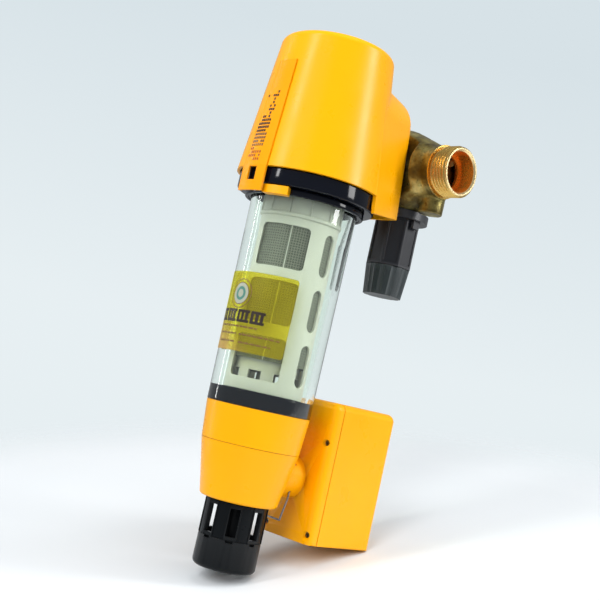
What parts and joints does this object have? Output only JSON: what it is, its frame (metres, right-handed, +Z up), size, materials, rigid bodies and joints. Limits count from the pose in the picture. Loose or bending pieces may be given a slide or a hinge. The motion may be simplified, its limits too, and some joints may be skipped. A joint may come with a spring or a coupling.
{
  "type": "backwash water filter",
  "caption": "Pipe-hung backwash water filter: clear bowl with strainer under a cap, twin threaded ports, pressure regulator and a motor-driven ball drain valve.",
  "frame": {"origin": "centre of the drain outlet's mouth, on the bowl axis", "axes": "+Z up the bowl axis, -Y towards the badge, +X and -X along the pipe"},
  "size_m": [0.1104, 0.157, 0.329],
  "materials": {
    "cap_yellow": "satin moulded ABS, yellow",
    "badge_yellow": "satin moulded ABS, slightly deeper yellow",
    "black_gloss": "polished black",
    "brass_cast": "rough cast skin with bright machined threads",
    "brass_bright": "machined",
    "tube_plastic": "moulded",
    "seal_rubber": "matt",
    "steel": "bright",
    "reg_black": "fine texture",
    "knob_grey": "fine texture",
    "bowl_clear": "clear moulded, slightly green",
    "label_gold": "printed gold film, translucent",
    "frame_pale": "pale translucent moulding",
    "mesh_steel": "woven wire screen",
    "wiper_rubber": "matt",
    "ball_chrome": "polished",
    "seat_white": "smooth",
    "drain_black": "satin",
    "gear_ivory": "smooth",
    "motor_steel": "plated",
    "plate_steel": "sheet",
    "board_green": "solder resist",
    "cell_blue": "printed sleeve",
    "window_black": "tinted lens",
    "button_grey": "matt"
  },
  "bodies": {
    "housing": {"head_cap": "cap_yellow", "badge": "badge_yellow", "lock_ring": "black_gloss", "head_body": "brass_cast", "clean_tube": "tube_plastic", "port_body": "brass_cast", "port_seal": "seal_rubber", "neck_bolts": "steel", "reg_collar": "reg_black", "reg_housing": "reg_black", "bowl": "bowl_clear", "bowl_seal_top": "seal_rubber", "bowl_seal_low": "seal_rubber", "label_film": "label_gold", "filter_frame": "frame_pale", "filter_mesh": "mesh_steel", "seal_carrier": "black_gloss", "base_collar": "cap_yellow", "base_cover": "cap_yellow", "valve_body": "drain_black", "valve_seats": "seat_white", "stem_seals": "seal_rubber", "drain_cage": "drain_black", "drain_cup": "drain_black", "box_cover": "cap_yellow", "box_gasket": "badge_yellow", "box_body": "cap_yellow", "box_screws": "steel", "middle_pin": "steel", "motor_can": "motor_steel", "gear_plate": "plate_steel", "plate_screws": "steel", "control_board": "board_green", "battery_cells": "cell_blue", "battery_tray": "reg_black", "display_window": "window_black"},
    "service_pointer": {"service_ring": "black_gloss", "service_pointer": "cap_yellow"},
    "adjuster": {"reg_knob": "knob_grey", "reg_spindle": "steel"},
    "spring_nut": {"reg_nut": "brass_bright", "reg_spring": "steel"},
    "piston": {"reg_piston": "tube_plastic"},
    "rotor": {"flush_rotor": "frame_pale", "rotor_wipers": "wiper_rubber"},
    "ball": {"valve_ball": "ball_chrome", "valve_stem": "brass_bright", "output_gear": "gear_ivory"},
    "middle_gear": {"middle_gear": "gear_ivory"},
    "pinion": {"motor_pinion": "brass_bright"},
    "clip": {"wire_clip": "steel"},
    "button": {"flush_button": "button_grey"}
  },
  "joints": [
    {"name": "service_ring_turn", "type": "hinge", "parent": "housing", "child": "service_pointer", "pos_m": [0, 0, 0.227], "axis": [0, 0, 1], "continuous": true},
    {"name": "adjuster_turn", "type": "hinge", "parent": "housing", "child": "adjuster", "pos_m": [0, 0.0863, 0.189], "axis": [0, 0, 1], "range_deg": [-360, 360]},
    {"name": "spring_nut_slide", "type": "slide", "parent": "housing", "child": "spring_nut", "axis": [0, 0, 1], "range_m": [-0.0015, 0.0015], "deforming": ["reg_spring"]},
    {"name": "piston_slide", "type": "slide", "parent": "housing", "child": "piston", "axis": [0, 0, 1], "range_m": [0, 0.002]},
    {"name": "rotor_turn", "type": "hinge", "parent": "housing", "child": "rotor", "pos_m": [0, 0, 0.1179], "axis": [0, 0, 1], "continuous": true},
    {"name": "valve_turn", "type": "hinge", "parent": "housing", "child": "ball", "pos_m": [0, 0, 0.0605], "axis": [0, 1, 0], "range_deg": [0, 90]},
    {"name": "middle_gear_turn", "type": "hinge", "parent": "housing", "child": "middle_gear", "pos_m": [0, 0.054, 0.0794], "axis": [0, 1, 0], "range_deg": [-315.5, 0.5]},
    {"name": "pinion_turn", "type": "hinge", "parent": "housing", "child": "pinion", "pos_m": [0, 0.057, 0.0955], "axis": [0, 1, 0], "range_deg": [-0.5, 893.5]},
    {"name": "clip_pull", "type": "slide", "parent": "housing", "child": "clip", "axis": [0, 0, -1], "range_m": [0, 0.026]},
    {"name": "button_press", "type": "slide", "parent": "housing", "child": "button", "axis": [0, -1, 0], "range_m": [0, 0.0008], "stiffness_N_per_m": 500}
  ],
  "couplings": [
    {"joint": "spring_nut_slide", "follows": "adjuster_turn", "m_per_rad": 0.00023873},
    {"joint": "middle_gear_turn", "follows": "valve_turn", "ratio": -3.5},
    {"joint": "pinion_turn", "follows": "valve_turn", "ratio": 9.9167}
  ]
}
